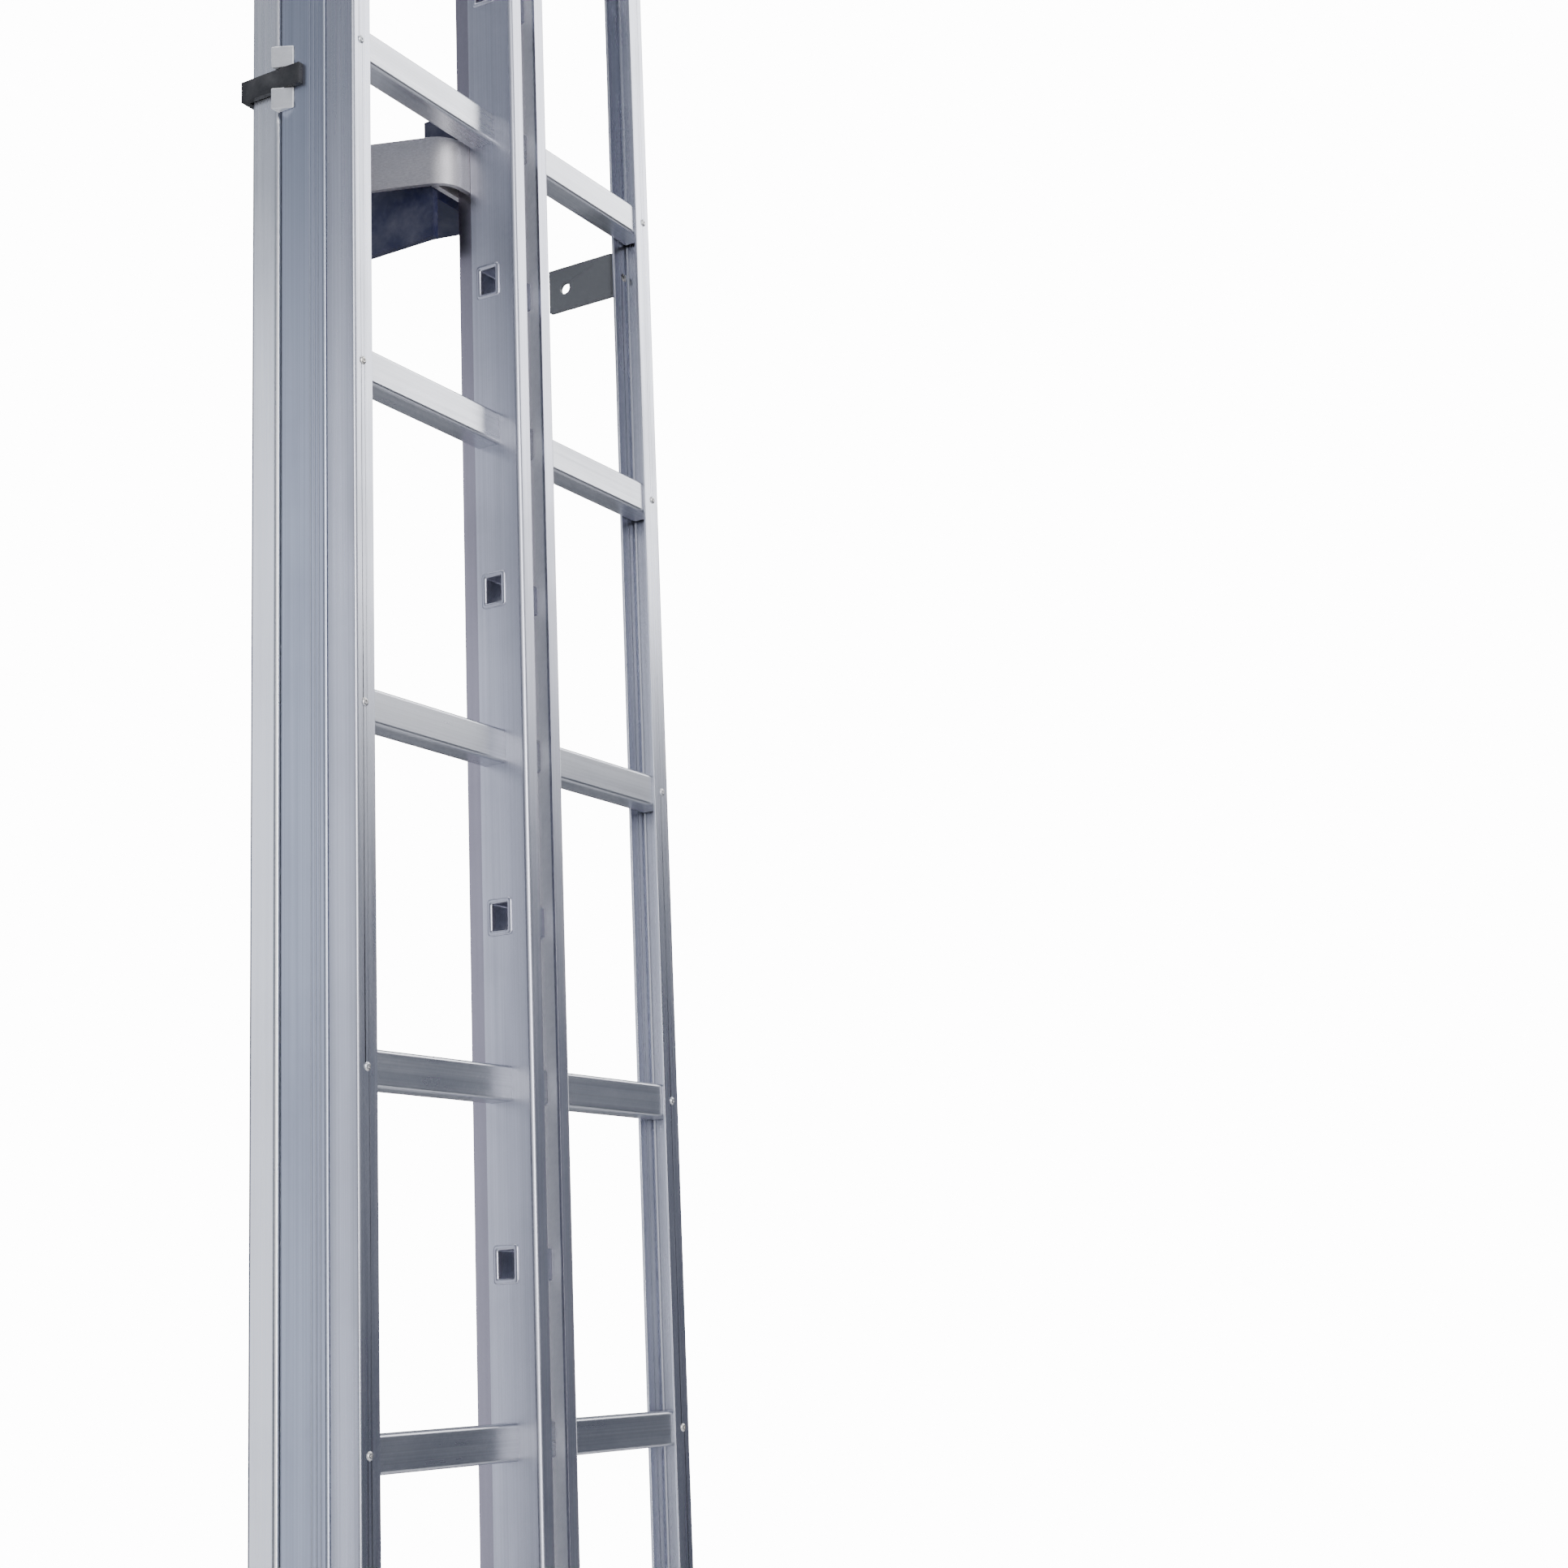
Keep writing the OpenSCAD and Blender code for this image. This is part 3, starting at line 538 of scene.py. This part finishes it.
def frame_along(axis, place):
    """Matrix whose Z axis points along axis, at place."""
    return Matrix.Translation(place) @ Vector(axis).to_track_quat("Z", "X").to_matrix().to_4x4()


# (radius, height) in mm from the mandrel's hollow, over the dome and down the shank
RIVET_DOME = [
    (0.0, 0.35), (0.75, 0.30), (0.95, 0.62), (1.05, 1.28), (1.35, 1.42), (2.1, 1.30), (2.9, 0.92),
    (3.3, 0.52), (3.5, 0.22), (3.5, 0.0), (2.0, -0.02), (2.0, -4.2), (2.6, -4.4), (2.7, -5.6), (2.0, -5.9),
    (0.0, -5.9),
]


def rivets(node, name):
    """Domed blind rivets with the hollow their pulled mandrels leave."""
    shape = Shape()
    for low, high in islands(node):
        place = Vector(((low.x + high.x) / 2, low.y + 1.5 * MM, (low.z + high.z) / 2))
        profile = [(r * MM, h * MM) for r, h in RIVET_DOME]
        shape.lathe(profile, frame_along((0, -1, 0), place), 20)
    shape.finish(name, node)


def hex_bolt(shape, place, axis, across, head, shank_r, shank):
    """Chamfered hexagon head that stands on place and points along axis, with its shank behind it."""
    matrix = frame_along(axis, place)
    tip = -shank - 0.6 * MM
    corner = across / math.cos(math.pi / 6)
    sides = 36

    def ring(height, limit):
        points = []
        for i in range(sides):
            angle = math.tau * i / sides
            within = (angle % (math.pi / 3)) - math.pi / 6
            radius = min(across / math.cos(within), limit)
            points.append((radius * math.cos(angle), radius * math.sin(angle), height))
        return points

    chamfer = (corner - across) * 0.7
    shape.loops(
        [ring(0.0, shank_r), ring(0.0, across * 0.97), ring(0.3 * MM, corner),
         ring(head - chamfer, corner), ring(head, across * 0.95), ring(head, across * 0.62),
         ring(head - 0.25 * MM, across * 0.56), ring(head - 0.25 * MM, across * 0.05)],
        matrix, cap_end=True)
    shape.lathe([(shank_r, 0.0), (shank_r, -shank), (shank_r * 0.85, tip), (0, tip)], matrix, 20)


def bolts(node, name, head_r_mm, head_h_mm, shank_r_mm):
    """Replaces a node of plain bolts, each along X or Y, by bolts with chamfered heads."""
    shape = Shape()
    half_flat = head_r_mm * math.cos(math.pi / 6) * MM * 0.97
    head = head_h_mm * MM
    for low, high in islands(node):
        middle = (low + high) / 2
        size = high - low
        along = 0 if size.x > size.y else 1
        across = 1 - along
        head_end = head_side(node, low, high, along, shank_r_mm * MM)
        axis = Vector((0, 0, 0))
        axis[along] = head_end
        place = middle.copy()
        place[along] = (high[along] if head_end > 0 else low[along]) - head_end * head
        hex_bolt(shape, place, axis, min(half_flat, size[across] / 2), head, shank_r_mm * MM,
                 size[along] - head - 0.6 * MM)
    shape.finish(name, node)


def head_side(node, low, high, along, shank_r):
    """+1 or -1: the end of a bolt, along its axis, at which its head lies."""
    middle = (low + high) / 2
    votes = 0
    for v in NODES[node].data.vertices:
        if all(low[k] - 1e-5 <= v.co[k] <= high[k] + 1e-5 for k in range(3)):
            off = [v.co[k] - middle[k] for k in range(3) if k != along]
            if math.hypot(*off) > shank_r + 0.0005:
                votes += 1 if v.co[along] > middle[along] else -1
    return 1 if votes > 0 else -1


def rounded_ring(width, height, radius, z, steps=6):
    """Rounded rectangle of points at height z, centred."""
    points = []
    for cx, cy, start in ((1, 1, 0), (-1, 1, 90), (-1, -1, 180), (1, -1, 270)):
        for i in range(steps + 1):
            angle = math.radians(start + 90 * i / steps)
            points.append((cx * (width / 2 - radius) + radius * math.cos(angle),
                           cy * (height / 2 - radius) + radius * math.sin(angle), z))
    return points


def rail_ties():
    """Square tie tubes whose ends are rolled over the rail's webs in a smooth rim."""
    node = "rail_ties"
    shape = Shape()
    for low, high in islands(node):
        middle = (low + high) / 2
        size = high - low
        outer_h, outer_d = size.z, size.y
        wall = 1.8 * MM
        rim = 2.5 * MM
        tube_h, tube_d = outer_h - 2 * rim, outer_d - 2 * rim
        half = size.x / 2
        rings = []
        # (half length, growth over the tube's outline, corner radius in mm)
        outside = [
            (half - 1.5 * MM, 0.0, 2.0), (half - 1.5 * MM, rim - 0.2 * MM, 3.0),
            (half - 1.2 * MM, rim, 3.2), (half - 0.7 * MM, rim - 0.1 * MM, 3.1),
            (half - 0.25 * MM, rim - 0.6 * MM, 2.8), (half, rim - 1.3 * MM, 2.4),
            (half - 0.05 * MM, -0.4 * MM, 1.9), (half - 0.5 * MM, -1.2 * MM, 1.5),
            (half - 1.4 * MM, -wall, 1.2), (half - 2.6 * MM, -wall, 1.0),
        ]
        for place, growth, radius in outside:
            rings.append(rounded_ring(tube_h + 2 * growth, tube_d + 2 * growth, radius * MM, place))
        for place, growth, radius in reversed(outside):
            rings.append(rounded_ring(tube_h + 2 * growth, tube_d + 2 * growth, radius * MM, -place))
        rings.append(rings[0])
        basis = Matrix(((0, 0, 1, middle.x), (0, 1, 0, middle.y), (-1, 0, 0, middle.z), (0, 0, 0, 1)))
        shape.loops(rings, basis)
    shape.finish("rail_tie_tubes", node, smooth_angle=50)


KNOB_STAND_MM = 7.0
LOBES = 5


def knob():
    """Five-lobed clamp knob: soft lobes, a recessed face and a steel stud."""
    node = "clamp_knob"
    low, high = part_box(node)
    pole_low, pole_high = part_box("grab_pole")
    face_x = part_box("pole_guides")[0].x
    pivot = next(j for j in frame["joints"] if j["name"] == "clamp_turn")["pos_m"]
    centre = Vector((face_x - KNOB_STAND_MM * MM, (pole_low.y + pole_high.y) / 2, pivot[2]))
    shape = Shape()
    back = centre.x - low.x
    count = 80

    def lobed(radius, depth, height):
        ring = []
        for i in range(count):
            angle = math.tau * i / count
            reach = radius + depth * math.cos(LOBES * angle)
            ring.append((reach * MM * math.cos(angle), reach * MM * math.sin(angle), height))
        return ring

    rings = [
        lobed(4.0, 0, 0.0), lobed(15.5, 2.0, 0.0), lobed(17.4, 2.6, 0.8 * MM), lobed(18.0, 3.0, 2.6 * MM),
        lobed(18.0, 3.0, back - 4.5 * MM), lobed(17.4, 2.8, back - 2.2 * MM),
        lobed(16.0, 2.3, back - 0.7 * MM), lobed(14.0, 1.4, back), lobed(9.5, 0.3, back),
        lobed(8.6, 0, back - 0.5 * MM), lobed(8.0, 0, back - 1.6 * MM), lobed(1.0, 0, back - 1.6 * MM),
    ]
    matrix = frame_along((-1, 0, 0), centre)
    shape.loops(rings, matrix, cap_end=True)
    stud_end = centre.x - high.x
    stud_r = 4.0 * MM
    stud = [(stud_r, 0.0), (stud_r, stud_end + 0.8 * MM), (0.8 * stud_r, stud_end), (0, stud_end)]
    shape.lathe(stud, matrix)
    shape.finish("knob_and_stud", node, smooth_angle=40)


def make_details():
    rivets("rung_rivets", "upper_rivets")
    rivets("lower_rivets", "lower_rung_rivets")
    bolts("arm_bolts", "arm_bolt_set", 7.5, 5.3, 4.0)
    bolts("strap_bolts", "strap_bolt_set", 7.5, 5.3, 4.0)
    bolts("rail_bolts", "rail_bolt_set", 4.5, 4.0, 2.5)
    bolts("post_bolts", "post_bolt_set", 7.5, 4.0, 4.0)
    rail_ties()
    knob()


make_camera()
make_world()
make_lights()
make_floor()
MATERIALS = make_materials()
dress_nodes(MATERIALS)
make_details()
